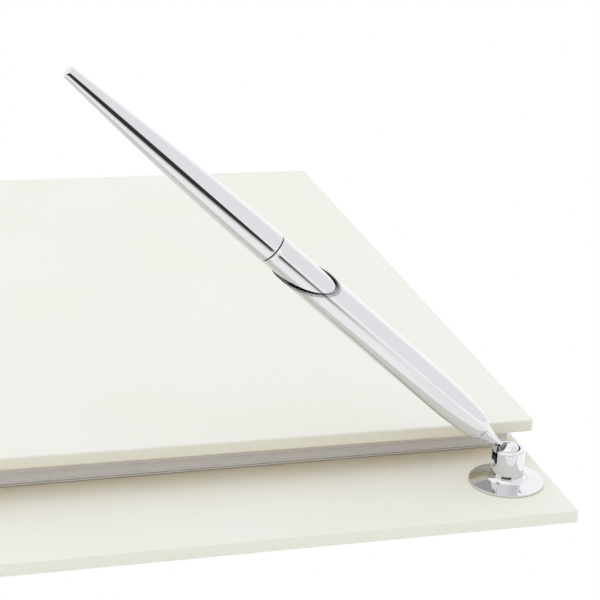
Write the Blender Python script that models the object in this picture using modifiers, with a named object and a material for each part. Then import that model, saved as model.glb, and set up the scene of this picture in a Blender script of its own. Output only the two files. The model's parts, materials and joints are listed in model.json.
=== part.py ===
"""Wedding guest book: a case-bound book whose back cover reaches past the front
cover as a ledge, with a chrome pen standing in a swivel ball socket on the ledge.

Metres, +Z up. The book lies flat with its spine on the -X side and the ledge on
the -Y side. The origin is the middle of the footprint, on the underside.
"""
import math

import bmesh
import bpy
from mathutils import Matrix, Vector

MM = 0.001
GAP = 0.3 * MM              # clearance between pieces that touch

# ---- covers -----------------------------------------------------------------
BOOK_WIDTH = 280 * MM       # spine's outer face to fore edge
BACK_DEPTH = 262.5 * MM     # back cover, head to ledge edge
LEDGE = 33.5 * MM           # how far the back cover passes the front cover
COVER = 3.5 * MM            # finished cover thickness
SKIN = 0.5 * MM             # covering material and pasted sheets
CORNER = 1.0 * MM           # rounded cover corners, in plan
EDGE = 0.4 * MM             # rounded cover edges
TURN_IN = 18 * MM           # covering folded onto a board's inner face
JOINT_END = 9.5 * MM        # where the boards begin, from the spine's outer face

# ---- spine ------------------------------------------------------------------
FOLD_X = 1.75 * MM          # both fold lines, from the spine's outer face
FOLD_Z = COVER / 2          # back fold line
SPINE_BOARD = 1.9 * MM
SPINE_REACH = 1.55 * MM     # spine covering past each fold line
CLOTH_START = 1.85 * MM     # joint cloth's edge, from its fold line

# ---- text block -------------------------------------------------------------
SPACE_FORE = 7.25 * MM      # between the covers at the fore edge
SPACE_SPINE = 9.25 * MM     # between the covers at the fold line
BLOCK_SPINE = 3.6 * MM      # block's spine side, from the spine's outer face
FORE_INSET = 4.3 * MM       # block behind the covers' fore edge
TAIL_INSET = 7.1 * MM       # block behind the front cover's near edge
HEAD_INSET = 4.3 * MM
LEAF = 0.2 * MM
LEAF_GAP = 0.2 * MM
SIGNATURES = 4
TURNING_LEAVES = ("front_flyleaf", "leaf_1", "leaf_2")
FOLD_ROUND = 0.6 * MM       # rounded fold of a signature
LINING = 0.3 * MM
LINING_MARGIN = 10 * MM     # the lining stops short of the block's ends
BAND_RADIUS = 0.8 * MM
BAND_INSET = 0.2 * MM

# ---- pen stand --------------------------------------------------------------
STAND_FROM_FORE = 12.65 * MM
STAND_FROM_NEAR = 19.9 * MM
FLANGE_RADIUS = 10 * MM
FLANGE_EDGE = 0.5 * MM
COLUMN_RADIUS = 4.37 * MM
COLUMN_TOP = 10.0 * MM
RING_RADIUS = 5.4 * MM      # where the brim meets the fillet
RING_HEIGHT = 1.3 * MM
FILLET = 1.3 * MM           # height of the fillet
BALL_RADIUS = 3.0 * MM
BALL_HEIGHT = 8.45 * MM     # above the ledge
SOCKET_RADIUS = BALL_RADIUS + GAP
BORE_FLOOR = 3.3 * MM
SLOT_WIDTH = 3.8 * MM
SLOT_DEPTH = 5.0 * MM
SLOT_START = 1.75 * MM      # from the column's axis
LIP = 0.8 * MM              # rounding of the rolled lip
CUP_TOP = -1.75 * MM        # below the ball's centre
CUP_FLOOR = 4.5 * MM        # above the ledge
WASHER = 0.3 * MM
WASHER_BORE = 1.4 * MM
SCREW_RADIUS = 1.6 * MM
SCREW_CHAMFER = 0.3 * MM
SCREW_HEAD_RADIUS = 4.0 * MM
SCREW_HEAD = 0.8 * MM
SCREW_HOLE_TOP = 2.5 * MM   # blind end of the threaded hole, above the ledge

# ---- pen, as distances from the ball's centre along its axis ----------------
PEN_AZIMUTH = math.radians(175)
PEN_ELEVATION = math.radians(41.7)
SOCKET_FLOOR = -1.8 * MM
LINER_TOP = 2.5 * MM
LINER_RADIUS = 1.2 * MM
LINER_BORE = 0.9 * MM
LINER_CHAMFER = 0.1 * MM
NOSE_TIP = 1.5 * MM
NOSE_END = 10.4 * MM
NOSE_BORE = 0.45 * MM
NOSE_SEAT = 7.2 * MM        # where the bore widens for the refill
SPIGOT_END = 13.5 * MM
SPIGOT_RADIUS = 1.75 * MM
SPIGOT_BORE = 1.2 * MM
BARREL_START = 10.7 * MM
BARREL_FULL = 31 * MM       # where the ogive reaches the full radius
BARREL_RADIUS = 4.68 * MM
BARREL_FRONT = 2.5 * MM     # radius of the blunt front
BARREL_BORE = 4.42 * MM
BORE_FULL = 34 * MM         # where the bore reaches its full radius
SPIGOT_HOLE = SPIGOT_RADIUS + GAP
CUT_MIDDLE = 75.4 * MM      # oblique upper end, where it crosses the axis
CUT_RISE = 6.9 * MM         # half the height of that oblique end
CUT_PHASE = math.radians(138.9)
COLLAR_START = 60 * MM
COLLAR_RADIUS = 4.12 * MM
COLLAR_BORE = 3.5 * MM
COLLAR_LIP = 4.25 * MM
COLLAR_FLARE = 1.5 * MM     # length of the flared lip
COLLAR_END = 88.5 * MM
TAIL_START = 88.8 * MM
TAIL_END = 157 * MM
TAIL_RADIUS = 4.2 * MM
TAIL_TIP_RADIUS = 1.55 * MM
TAIL_WALL = 0.6 * MM
TAIL_RINGS = 10
CAVITY_END = 140 * MM
SLEEVE_START = 80 * MM
SLEEVE_END = 98 * MM
SLEEVE_RADIUS = 3.2 * MM
SLEEVE_BORE = 2.5 * MM
REFILL_RADIUS = 1.5 * MM
REFILL_BORE = 0.9 * MM
REFILL_START = 14 * MM
REFILL_END = 110 * MM
TIP_BORE_PART = 17 * MM     # how far the tip reaches into the tube
TIP_RADIUS = 0.6 * MM
TIP_SHOULDER = 8.6 * MM
NEEDLE_RADIUS = 0.3 * MM
NEEDLE_START = -0.9 * MM
PLUG = 2.4 * MM
PLUG_RADIUS = 1.4 * MM

FINE = 40                   # facets round the stand
ROUND = 32                  # facets round the pen
COARSE = 20                 # facets round hidden pieces
LIP_STEPS = 3
FILLET_STEPS = 8
SEAT_STEPS = 7
OGIVE_STEPS = 8

# ---- places in the book's frame --------------------------------------------
LEFT = -BOOK_WIDTH / 2
RIGHT = BOOK_WIDTH / 2
NEAR = -BACK_DEPTH / 2
FAR = BACK_DEPTH / 2
FRONT_NEAR = NEAR + LEDGE
FOLD = LEFT + FOLD_X
WEDGE = math.atan2(SPACE_SPINE - SPACE_FORE, BOOK_WIDTH - FOLD_X)
FRONT_FOLD_Z = COVER + SPACE_SPINE + COVER / 2
BLOCK_LEFT = LEFT + BLOCK_SPINE
BLOCK_RIGHT = RIGHT - FORE_INSET
BLOCK_NEAR = FRONT_NEAR + TAIL_INSET
BLOCK_FAR = FAR - HEAD_INSET
LEAF_PIVOT_Z = COVER + SPACE_SPINE - GAP + 0.05 * MM
STAND = Vector((RIGHT - STAND_FROM_FORE, NEAR + STAND_FROM_NEAR, COVER))
BALL = STAND + Vector((0, 0, BALL_HEIGHT))

PARTS = "wedding_guest_book"
CUTTERS = "cutters"


# ---- scene and materials ----------------------------------------------------
def clear_scene():
    for obj in list(bpy.data.objects):
        bpy.data.objects.remove(obj, do_unlink=True)
    for name in (PARTS, CUTTERS):
        bpy.context.scene.collection.children.link(bpy.data.collections.new(name))


def material(name, color, roughness, metallic=0.0):
    made = bpy.data.materials.new(name)
    made.use_nodes = True
    shader = made.node_tree.nodes["Principled BSDF"]
    shader.inputs["Base Color"].default_value = (*color, 1)
    shader.inputs["Roughness"].default_value = roughness
    shader.inputs["Metallic"].default_value = metallic
    return made


def cover_paper(name):
    return material(name, (0.89, 0.88, 0.82), 0.55)


def board(name):
    return material(name, (0.55, 0.50, 0.43), 0.85)


def page(name):
    return material(name, (0.86, 0.85, 0.82), 0.75)


def mull(name):
    return material(name, (0.80, 0.78, 0.72), 0.9)


def band(name):
    return material(name, (0.93, 0.92, 0.88), 0.8)


def chrome(name):
    return material(name, (0.84, 0.84, 0.86), 0.06, 1.0)


def brass(name):
    return material(name, (0.76, 0.60, 0.32), 0.25, 1.0)


def steel(name):
    return material(name, (0.58, 0.58, 0.60), 0.30, 1.0)


def nylon(name):
    return material(name, (0.20, 0.20, 0.21), 0.45)


def add_object(name, mesh, look, parent=None, place=(0, 0, 0)):
    obj = bpy.data.objects.new(name, mesh)
    bpy.data.collections[PARTS].objects.link(obj)
    mesh.materials.append(look(name))
    obj.location = place
    obj.parent = parent
    return obj


def add_empty(name, place, rotation=(0, 0, 0), parent=None):
    empty = bpy.data.objects.new(name, None)
    bpy.data.collections[PARTS].objects.link(empty)
    empty.empty_display_size = 5 * MM
    empty.location = place
    empty.rotation_euler = rotation
    empty.parent = parent
    return empty


# ---- shape tools ------------------------------------------------------------
def block_mesh(name, low, high, corner=0.0, edge=0.0):
    """A box between two corner points. Its upright edges can be rounded by
    corner, and the rest by edge."""
    made = bmesh.new()
    size = Vector(high) - Vector(low)
    middle = (Vector(high) + Vector(low)) / 2
    bmesh.ops.create_cube(made, size=1, matrix=Matrix.Translation(middle) @ Matrix.Diagonal((*size, 1)))
    if corner:
        upright = [e for e in made.edges if abs((e.verts[0].co - e.verts[1].co).z) > size.z / 2]
        bmesh.ops.bevel(made, geom=upright, offset=corner, segments=3, profile=0.5, affect="EDGES")
    if edge:
        rims = [
            e for e in made.edges
            if abs(e.verts[0].co.z - e.verts[1].co.z) < MM / 100 and e.calc_face_angle() > 1
        ]
        bmesh.ops.bevel(made, geom=rims, offset=edge, segments=2, profile=0.5, affect="EDGES")
    mesh = bpy.data.meshes.new(name)
    made.to_mesh(mesh)
    made.free()
    return mesh


def turned(name, outline, look, steps=ROUND, parent=None, place=(0, 0, 0)):
    """A shape turned about local Z from (radius, height) points that run down
    the outer side. A hollow one closes its outline up the bore."""
    mesh = bpy.data.meshes.new(name)
    hollow = outline[0][0] > 0
    points = [(r, 0, z) for r, z in outline]
    edges = [(i, i + 1) for i in range(len(points) - 1)]
    if hollow:
        edges.append((len(points) - 1, 0))
    mesh.from_pydata(points, edges, [])
    if look is None:
        obj = bpy.data.objects.new(name, mesh)
        bpy.data.collections[CUTTERS].objects.link(obj)
        hide(obj, parent, place)
    else:
        obj = add_object(name, mesh, look, parent, place)
    screw = obj.modifiers.new("turn", "SCREW")
    screw.axis = "Z"
    screw.angle = 2 * math.pi
    screw.steps = steps
    screw.render_steps = steps
    screw.use_merge_vertices = True
    screw.merge_threshold = 1e-6
    screw.use_smooth_shade = True
    return obj


def hide(obj, parent=None, place=(0, 0, 0)):
    obj.parent = parent
    obj.location = place
    obj.hide_render = True
    obj.display_type = "WIRE"


def box_cutter(name, low, high, parent=None):
    obj = bpy.data.objects.new(name, block_mesh(name, low, high))
    bpy.data.collections[CUTTERS].objects.link(obj)
    hide(obj, parent)
    return obj


def rod_cutter(name, radius, low, high, place, axis="Z"):
    """A round cutter along Z or X, from low to high past its place."""
    made = bmesh.new()
    bmesh.ops.create_cone(
        made, cap_ends=True, segments=COARSE, radius1=radius, radius2=radius, depth=high - low,
        matrix=Matrix.Translation((0, 0, (high + low) / 2)),
    )
    mesh = bpy.data.meshes.new(name)
    made.to_mesh(mesh)
    made.free()
    obj = bpy.data.objects.new(name, mesh)
    bpy.data.collections[CUTTERS].objects.link(obj)
    hide(obj, None, place)
    if axis == "X":
        obj.rotation_euler = (0, math.pi / 2, 0)
    return obj


def cut(obj, cutter):
    step = obj.modifiers.new(cutter.name, "BOOLEAN")
    step.operation = "DIFFERENCE"
    step.object = cutter


def grown(low, high, by):
    return [v - by for v in low], [v + by for v in high]


# ---- covers -----------------------------------------------------------------
def covered_board(side, low, high, window_low, window_high, parent=None):
    """A board, its covering folded round all four edges, and the sheet pasted
    in the window that the folded-in covering leaves."""
    inner_low, inner_high = grown(low, high, -SKIN)
    board_low, board_high = grown(inner_low, inner_high, -GAP)
    add_object(side + "_board", block_mesh(side + "_board", board_low, board_high), board, parent)
    wrap = add_object(
        side + "_cover_wrap",
        block_mesh(side + "_cover_wrap", low, high, CORNER, EDGE), cover_paper, parent,
    )
    cut(wrap, box_cutter(side + "_board_room", inner_low, inner_high, parent))
    cut(wrap, box_cutter(side + "_window", window_low, window_high, parent))
    sheet_low = [window_low[0] + GAP, window_low[1] + GAP, max(window_low[2], low[2])]
    sheet_high = [window_high[0] - GAP, window_high[1] - GAP, min(window_high[2], high[2])]
    # the sheet is as thick as the covering beside it
    if window_low[2] < low[2]:
        sheet_high[2] = low[2] + SKIN
    else:
        sheet_low[2] = high[2] - SKIN
    add_object(side + "_pastedown", block_mesh(side + "_pastedown", sheet_low, sheet_high), page, parent)
    return wrap


def back_cover():
    low = (LEFT + JOINT_END, NEAR, 0)
    high = (RIGHT, FAR, COVER)
    window_low = (low[0] + TURN_IN, BLOCK_NEAR + TURN_IN, COVER - SKIN - GAP / 2)
    window_high = (high[0] - TURN_IN, FAR - TURN_IN, COVER + MM)
    wrap = covered_board("back", low, high, window_low, window_high)
    # the stand's screw passes through the board and the upper covering, and its
    # head sits in the board's underside
    place = (STAND.x, STAND.y, 0)
    hole = SCREW_RADIUS + GAP
    room = SCREW_HEAD_RADIUS + GAP
    plank = bpy.data.objects["back_board"]
    cut(wrap, rod_cutter("hole_in_wrap", hole, COVER / 2, COVER + MM, place))
    cut(plank, rod_cutter("hole_in_board", hole, SKIN + GAP / 2, COVER + MM, place))
    cut(plank, rod_cutter("screw_head_room", room, SKIN + GAP / 2, SKIN + 2 * GAP + SCREW_HEAD, place))


def back_joint():
    low = (FOLD + CLOTH_START, FRONT_NEAR, 0)
    high = (LEFT + JOINT_END - GAP, FAR, SKIN)
    add_object("back_joint_cloth", block_mesh("back_joint_cloth", low, high), cover_paper)


def front_cover(fold):
    """Modelled flat about its fold line, which leans with the wedge of the block."""
    length = (BOOK_WIDTH - FOLD_X) / math.cos(WEDGE)
    low = (JOINT_END - FOLD_X, FRONT_NEAR, -COVER / 2)
    high = (length, FAR, COVER / 2)
    window_low = (low[0] + TURN_IN, FRONT_NEAR + TURN_IN, low[2] - MM)
    window_high = (high[0] - TURN_IN, FAR - TURN_IN, low[2] + SKIN + GAP / 2)
    covered_board("front", low, high, window_low, window_high, fold)
    cloth_low = (CLOTH_START, FRONT_NEAR, COVER / 2 - SKIN)
    cloth_high = (low[0] - GAP, FAR, COVER / 2)
    add_object(
        "front_joint_cloth", block_mesh("front_joint_cloth", cloth_low, cloth_high), cover_paper, fold,
    )


def spine(fold):
    """Stands on the back fold line, as tall as the distance between the folds."""
    height = FRONT_FOLD_Z - FOLD_Z
    half = SPINE_BOARD / 2
    inset = SKIN + GAP
    low = (-half, FRONT_NEAR + inset, -half)
    high = (half, FAR - inset, height + half)
    add_object("spine_board", block_mesh("spine_board", low, high), board, fold)
    add_object(
        "spine_wrap",
        block_mesh(
            "spine_wrap", (-FOLD_X, FRONT_NEAR, -SPINE_REACH), (SKIN - FOLD_X, FAR, height + SPINE_REACH),
        ),
        cover_paper, fold,
    )


# ---- text block -------------------------------------------------------------
def under_front_cover(x):
    return COVER + SPACE_SPINE - math.tan(WEDGE) * (x - FOLD)


def signature(index):
    """One folded gathering: a wedge, thicker at the spine, with a round fold."""
    bottom = COVER + GAP + LEAF + LEAF_GAP
    stack = len(TURNING_LEAVES) * (LEAF + LEAF_GAP) + GAP

    def level(x, share):
        thick = (under_front_cover(x) - stack - bottom - (SIGNATURES - 1) * LEAF_GAP) / SIGNATURES
        return bottom + index * (thick + LEAF_GAP) + share * thick

    name = "signature_%d" % (index + 1)
    mesh = block_mesh(name, (BLOCK_LEFT, BLOCK_NEAR, 0), (BLOCK_RIGHT, BLOCK_FAR, MM))
    made = bmesh.new()
    made.from_mesh(mesh)
    for vert in made.verts:
        vert.co.z = level(vert.co.x, 1 if vert.co.z > MM / 2 else 0)
    fold = [
        e for e in made.edges
        if all(abs(v.co.x - BLOCK_LEFT) < MM / 100 for v in e.verts)
        and abs(e.verts[0].co.y - e.verts[1].co.y) > MM
    ]
    bmesh.ops.bevel(made, geom=fold, offset=FOLD_ROUND, segments=3, profile=0.5, affect="EDGES")
    made.to_mesh(mesh)
    made.free()
    add_object(name, mesh, page)


def turning_leaf(name, index):
    """A single leaf under the front cover, on the gutter line that all turning leaves share."""
    gutter = add_empty(name + "_gutter", (BLOCK_LEFT, 0, LEAF_PIVOT_Z), (0, WEDGE, 0))
    top = -0.05 * MM - index * (LEAF + LEAF_GAP)
    low = (GAP, BLOCK_NEAR, top - LEAF)
    high = (BLOCK_RIGHT - BLOCK_LEFT, BLOCK_FAR, top)
    add_object(name, block_mesh(name, low, high), page, gutter)


def back_flyleaf():
    low = (BLOCK_LEFT + GAP, BLOCK_NEAR, COVER + GAP)
    high = (BLOCK_RIGHT, BLOCK_FAR, COVER + GAP + LEAF)
    add_object("back_flyleaf", block_mesh("back_flyleaf", low, high), page)


def spine_lining():
    low = (BLOCK_LEFT - GAP - LINING, BLOCK_NEAR + LINING_MARGIN, COVER + 2 * GAP)
    high = (BLOCK_LEFT - GAP, BLOCK_FAR - LINING_MARGIN, COVER + SPACE_SPINE - 3 * GAP)
    add_object("spine_lining", block_mesh("spine_lining", low, high), mull)


def end_band(name, y):
    """A sewn band across one end of the block's spine."""
    made = bmesh.new()
    height = SPACE_SPINE - 4 * GAP
    bmesh.ops.create_cone(
        made, cap_ends=True, segments=COARSE, radius1=BAND_RADIUS, radius2=BAND_RADIUS, depth=height,
    )
    mesh = bpy.data.meshes.new(name)
    made.to_mesh(mesh)
    made.free()
    place = (BLOCK_LEFT + BAND_RADIUS + BAND_INSET, y, COVER + SPACE_SPINE / 2)
    add_object(name, mesh, band, None, place)


# ---- pen stand --------------------------------------------------------------
def socket_arc(high, low, count):
    """Heights and radii of the ball's hollow seat between two heights."""
    points = []
    for i in range(count):
        z = high + (low - high) * i / (count - 1)
        points.append((math.sqrt(SOCKET_RADIUS ** 2 - (z - BALL_HEIGHT) ** 2), z))
    return points


def stand_base():
    """A trumpet foot and hollow column in one piece. The ball drops in from the
    top, and the lip is rolled in over it."""
    outline = [(0, COLUMN_TOP)]
    for i in range(LIP_STEPS + 1):
        turn = math.pi / 2 * i / LIP_STEPS
        radius = COLUMN_RADIUS - LIP * (1 - math.sin(turn))
        outline.append((radius, COLUMN_TOP - LIP * (1 - math.cos(turn))))
    for i in range(FILLET_STEPS + 1):
        turn = math.pi / 2 * (1 - i / FILLET_STEPS)
        radius = RING_RADIUS - (RING_RADIUS - COLUMN_RADIUS) * math.sin(turn)
        outline.append((radius, RING_HEIGHT + FILLET * (1 - math.cos(turn))))
    outline += [
        (FLANGE_RADIUS, FLANGE_EDGE + GAP), (FLANGE_RADIUS, GAP), (SCREW_RADIUS + GAP, GAP),
        (SCREW_RADIUS + GAP, SCREW_HOLE_TOP), (0, SCREW_HOLE_TOP),
    ]
    stand = turned("stand_base", outline, chrome, FINE, None, STAND)
    seat = socket_arc(COLUMN_TOP, BALL_HEIGHT, SEAT_STEPS)
    room = [(0, COLUMN_TOP + MM), (seat[0][0], COLUMN_TOP + MM)] + seat
    room += [(SOCKET_RADIUS, BORE_FLOOR), (0, BORE_FLOOR)]
    cut(stand, turned("ball_room", room, None, FINE, None, STAND))
    # the slot for the pen's nose, with a round lower end
    bottom = COLUMN_TOP - SLOT_DEPTH + SLOT_WIDTH / 2
    slot = box_cutter(
        "slot_sides",
        STAND + Vector((-2 * COLUMN_RADIUS, -SLOT_WIDTH / 2, bottom)),
        STAND + Vector((-SLOT_START, SLOT_WIDTH / 2, COLUMN_TOP + MM)),
    )
    cut(stand, slot)
    cut(stand, rod_cutter(
        "slot_end", SLOT_WIDTH / 2, -2 * COLUMN_RADIUS, -SLOT_START,
        STAND + Vector((0, 0, bottom)), "X",
    ))


def stand_screw():
    top = SCREW_HOLE_TOP - GAP
    head = SKIN + GAP - COVER
    turned("stand_screw", [
        (0, top), (SCREW_RADIUS - SCREW_CHAMFER, top), (SCREW_RADIUS, top - SCREW_CHAMFER),
        (SCREW_RADIUS, head + SCREW_HEAD), (SCREW_HEAD_RADIUS - SCREW_CHAMFER, head + SCREW_HEAD),
        (SCREW_HEAD_RADIUS, head + SCREW_HEAD - SCREW_CHAMFER), (SCREW_HEAD_RADIUS, head), (0, head),
    ], steel, COARSE, None, STAND)


def seat_spring():
    """A dished spring washer that presses the cup up against the ball."""
    low = BORE_FLOOR + GAP
    rim = SOCKET_RADIUS - GAP
    turned("seat_spring", [
        (WASHER_BORE, low + 2 * WASHER), (rim, low + WASHER), (rim, low), (WASHER_BORE, low + WASHER),
    ], steel, COARSE, None, STAND)


def ball_seat(parent):
    """A cup under the ball, hollowed to the ball's curve."""
    bottom = CUP_FLOOR - BALL_HEIGHT
    hollow = []
    for i in range(SEAT_STEPS):
        z = -SOCKET_RADIUS + (CUP_TOP + SOCKET_RADIUS) * (i / (SEAT_STEPS - 1)) ** 2
        hollow.append((math.sqrt(SOCKET_RADIUS ** 2 - z ** 2), z))
    turned(
        "ball_seat", hollow + [(BALL_RADIUS, CUP_TOP), (BALL_RADIUS, bottom), (0, bottom)],
        nylon, COARSE, parent,
    )


def swivel_ball(parent):
    made = bmesh.new()
    bmesh.ops.create_uvsphere(made, u_segments=ROUND, v_segments=ROUND // 2, radius=BALL_RADIUS)
    mesh = bpy.data.meshes.new("swivel_ball")
    made.to_mesh(mesh)
    made.free()
    mesh.shade_smooth()
    ball = add_object("swivel_ball", mesh, chrome, parent)
    cut(ball, turned("socket_room", [
        (0, BALL_RADIUS + MM), (LINER_RADIUS + GAP, BALL_RADIUS + MM),
        (LINER_RADIUS + GAP, SOCKET_FLOOR), (0, SOCKET_FLOOR),
    ], None, COARSE, parent))


def socket_liner(parent):
    """A thin steel cup in the ball that the pen's nose drops into."""
    floor = SOCKET_FLOOR + GAP
    turned("socket_liner", [
        (0, floor + GAP), (LINER_BORE, floor + GAP), (LINER_BORE, LINER_TOP - LINER_CHAMFER),
        (LINER_BORE + LINER_CHAMFER, LINER_TOP), (LINER_RADIUS, LINER_TOP), (LINER_RADIUS, floor),
        (0, floor),
    ], steel, COARSE, parent)


# ---- pen --------------------------------------------------------------------
def pen_nose_cone(parent):
    """A slim cone that eases outwards into a shoulder, with a spigot in the barrel."""
    turned("pen_nose_cone", [
        (SPIGOT_BORE, SPIGOT_END), (SPIGOT_RADIUS, SPIGOT_END), (SPIGOT_RADIUS, NOSE_END),
        (2.42 * MM, NOSE_END), (2.05 * MM, 9.2 * MM), (1.62 * MM, 7.7 * MM), (1.1 * MM, 5.1 * MM),
        (0.72 * MM, 3.2 * MM), (0.6 * MM, NOSE_TIP), (NOSE_BORE, NOSE_TIP), (NOSE_BORE, NOSE_SEAT),
        (SPIGOT_BORE, NOSE_SEAT + 0.7 * MM),
    ], chrome, ROUND, parent)


def barrel_radius(s):
    """An ogive: the radius grows along a quarter of an ellipse."""
    share = (BARREL_FULL - s) / (BARREL_FULL - BARREL_START)
    return BARREL_FRONT + (BARREL_RADIUS - BARREL_FRONT) * math.sqrt(max(0.0, 1 - share ** 2.1)) ** 0.9


def pen_lower_barrel(parent):
    top = CUT_MIDDLE + CUT_RISE + 2 * MM
    outline = [(BARREL_BORE, top), (BARREL_RADIUS, top)]
    for i in range(OGIVE_STEPS + 1):
        share = math.sin(math.pi / 2 * i / OGIVE_STEPS)
        s = BARREL_FULL - (BARREL_FULL - BARREL_START) * share
        outline.append((barrel_radius(s), s))
    outline += [
        (SPIGOT_HOLE, BARREL_START), (SPIGOT_HOLE, SPIGOT_END + GAP), (2.6 * MM, 18 * MM),
        (3.4 * MM, 24 * MM), (BARREL_BORE, BORE_FULL),
    ]
    barrel = turned("pen_lower_barrel", outline, chrome, ROUND, parent)
    # a slanted block takes off the upper end
    lean = math.atan2(CUT_RISE, BARREL_RADIUS)
    half = 30 * MM
    cutter = box_cutter("oblique_end", (-half, -half, 0), (half, half, 2 * half), parent)
    cutter.location = (0, 0, CUT_MIDDLE)
    # the plane's lowest point faces CUT_PHASE
    turn = Matrix.Rotation(CUT_PHASE, 4, "Z") @ Matrix.Rotation(lean, 4, "Y")
    cutter.rotation_euler = turn.to_euler()
    cut(barrel, cutter)


def pen_collar(parent):
    """A sleeve inside the lower barrel, with a small flared lip under the tail."""
    turned("pen_collar", [
        (COLLAR_BORE, COLLAR_END), (COLLAR_LIP, COLLAR_END), (4.2 * MM, COLLAR_END - 0.4 * MM),
        (4.15 * MM, COLLAR_END - 0.9 * MM), (COLLAR_RADIUS, COLLAR_END - COLLAR_FLARE),
        (COLLAR_RADIUS, COLLAR_START), (COLLAR_BORE, COLLAR_START),
    ], chrome, ROUND, parent)


def tail_radius(s):
    """Nearly straight from the tip, easing into a cylinder at the collar."""
    share = (TAIL_END - s) / (TAIL_END - TAIL_START)
    swell = 1 - (1 - share) ** 1.75
    return TAIL_TIP_RADIUS + (TAIL_RADIUS - TAIL_TIP_RADIUS) * swell


def pen_tail(parent):
    first = TAIL_END - MM
    stations = [first - (first - TAIL_START) * i / TAIL_RINGS for i in range(TAIL_RINGS + 1)]
    outline = [(0, TAIL_END), (0.8 * MM, TAIL_END - 0.15 * MM), (1.3 * MM, TAIL_END - 0.5 * MM)]
    outline += [(tail_radius(s), s) for s in stations]
    cavity = [s for s in reversed(stations) if s < CAVITY_END]
    outline += [(tail_radius(s) - TAIL_WALL, s) for s in cavity]
    outline.append((0, cavity[-1] + 2 * MM))
    turned("pen_tail", outline, chrome, ROUND, parent)


def thread_sleeve(parent):
    """The threaded bush that joins the tail to the collar."""
    turned("thread_sleeve", [
        (SLEEVE_BORE, SLEEVE_END), (SLEEVE_RADIUS, SLEEVE_END),
        (SLEEVE_RADIUS, SLEEVE_START), (SLEEVE_BORE, SLEEVE_START),
    ], brass, COARSE, parent)


def refill_plastic(name):
    return material(name, (0.75, 0.76, 0.80), 0.3)


def refill(parent):
    shank = REFILL_START - GAP
    turned("refill_tip", [
        (0, TIP_BORE_PART), (TIP_RADIUS, TIP_BORE_PART), (TIP_RADIUS, shank), (REFILL_BORE, shank),
        (REFILL_BORE, TIP_SHOULDER), (NEEDLE_RADIUS, TIP_SHOULDER - 0.7 * MM),
        (NEEDLE_RADIUS, NEEDLE_START + NEEDLE_RADIUS), (0, NEEDLE_START),
    ], brass, COARSE, parent)
    turned("refill_tube", [
        (REFILL_BORE, REFILL_END), (REFILL_RADIUS, REFILL_END),
        (REFILL_RADIUS, REFILL_START), (REFILL_BORE, REFILL_START),
    ], refill_plastic, COARSE, parent)
    low = REFILL_END + GAP
    high = REFILL_END + PLUG
    turned("refill_plug", [
        (0, high), (PLUG_RADIUS - GAP / 2, high), (PLUG_RADIUS, high - GAP / 2),
        (PLUG_RADIUS, low), (0, low),
    ], nylon, COARSE, parent)


# ---- assembly ---------------------------------------------------------------
def main():
    clear_scene()
    back_cover()
    back_joint()
    spine(add_empty("back_fold", (FOLD, 0, FOLD_Z)))
    front_cover(add_empty("front_fold", (FOLD, 0, FRONT_FOLD_Z), (0, WEDGE, 0)))
    back_flyleaf()
    for index in range(SIGNATURES):
        signature(index)
    for index, name in enumerate(TURNING_LEAVES):
        turning_leaf(name, index)
    spine_lining()
    end_band("tailband", BLOCK_NEAR - GAP - BAND_RADIUS)
    end_band("headband", BLOCK_FAR + GAP + BAND_RADIUS)
    stand_base()
    stand_screw()
    seat_spring()
    turn = add_empty("ball_turn", BALL, (0, 0, PEN_AZIMUTH))
    ball_seat(turn)
    tilt = add_empty("pen_axis", (0, 0, 0), (0, math.pi / 2 - PEN_ELEVATION, 0), turn)
    swivel_ball(tilt)
    socket_liner(tilt)
    pen_nose_cone(tilt)
    pen_lower_barrel(tilt)
    pen_collar(tilt)
    pen_tail(tilt)
    thread_sleeve(tilt)
    refill(tilt)


main()
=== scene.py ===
"""Looks of the wedding guest book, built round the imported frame.

Lengths are metres in the frame's own axes: +Z up, the spine at -X, the ledge with
the pen stand at -Y. Places come from the frame's nodes, joints and mounts.
"""
import json
import math
import random

import bmesh
import bpy
import numpy as np
from mathutils import Matrix, Vector

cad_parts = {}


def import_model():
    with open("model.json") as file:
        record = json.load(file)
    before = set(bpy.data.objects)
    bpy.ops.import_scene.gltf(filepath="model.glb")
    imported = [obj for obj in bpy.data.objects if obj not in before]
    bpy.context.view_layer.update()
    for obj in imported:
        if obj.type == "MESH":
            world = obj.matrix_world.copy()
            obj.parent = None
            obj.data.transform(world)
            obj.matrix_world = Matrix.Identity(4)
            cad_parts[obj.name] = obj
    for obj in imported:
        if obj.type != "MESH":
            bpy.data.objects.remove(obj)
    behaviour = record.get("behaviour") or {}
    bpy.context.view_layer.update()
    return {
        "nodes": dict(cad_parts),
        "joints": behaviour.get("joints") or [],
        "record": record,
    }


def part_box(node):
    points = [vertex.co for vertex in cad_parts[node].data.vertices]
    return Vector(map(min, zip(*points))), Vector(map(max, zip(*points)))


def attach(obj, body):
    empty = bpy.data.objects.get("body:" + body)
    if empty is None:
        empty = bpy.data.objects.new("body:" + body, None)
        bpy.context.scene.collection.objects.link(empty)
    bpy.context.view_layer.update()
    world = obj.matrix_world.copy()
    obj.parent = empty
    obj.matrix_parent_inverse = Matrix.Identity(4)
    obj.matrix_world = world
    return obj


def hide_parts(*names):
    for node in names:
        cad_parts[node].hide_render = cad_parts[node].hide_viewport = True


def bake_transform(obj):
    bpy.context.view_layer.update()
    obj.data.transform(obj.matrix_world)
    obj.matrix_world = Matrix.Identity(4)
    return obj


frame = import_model()

MM = 0.001
NODES = frame["nodes"]
JOINTS = {joint["name"]: joint for joint in frame["joints"]}
MOUNTS = {mount["name"]: mount for mount in frame["record"]["mounts"]}

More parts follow.
